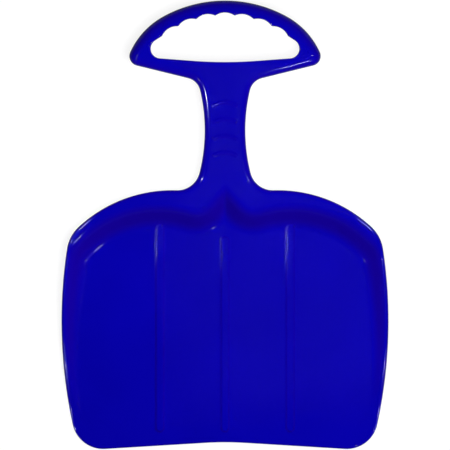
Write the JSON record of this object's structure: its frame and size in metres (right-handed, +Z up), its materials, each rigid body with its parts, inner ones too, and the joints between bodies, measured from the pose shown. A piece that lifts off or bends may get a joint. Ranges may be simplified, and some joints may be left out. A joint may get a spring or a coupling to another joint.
{
  "type": "snow shovel",
  "caption": "One-piece moulded plastic snow shovel: wide shallow tray blade, short ridged neck and D-shaped grip with finger hollows.",
  "frame": {"origin": "middle of the flat underside of the blade that the shovel rests on, 140 mm behind the front corners", "axes": "+X across the blade to the right, +Y from the front edge towards the grip, +Z up out of the tray"},
  "size_m": [0.401, 0.5499, 0.0438],
  "materials": {
    "moulded_plastic": "glossy, self-coloured royal blue injection moulding"
  },
  "bodies": {
    "root": {"shovel_moulding": "moulded_plastic"}
  },
  "joints": []
}
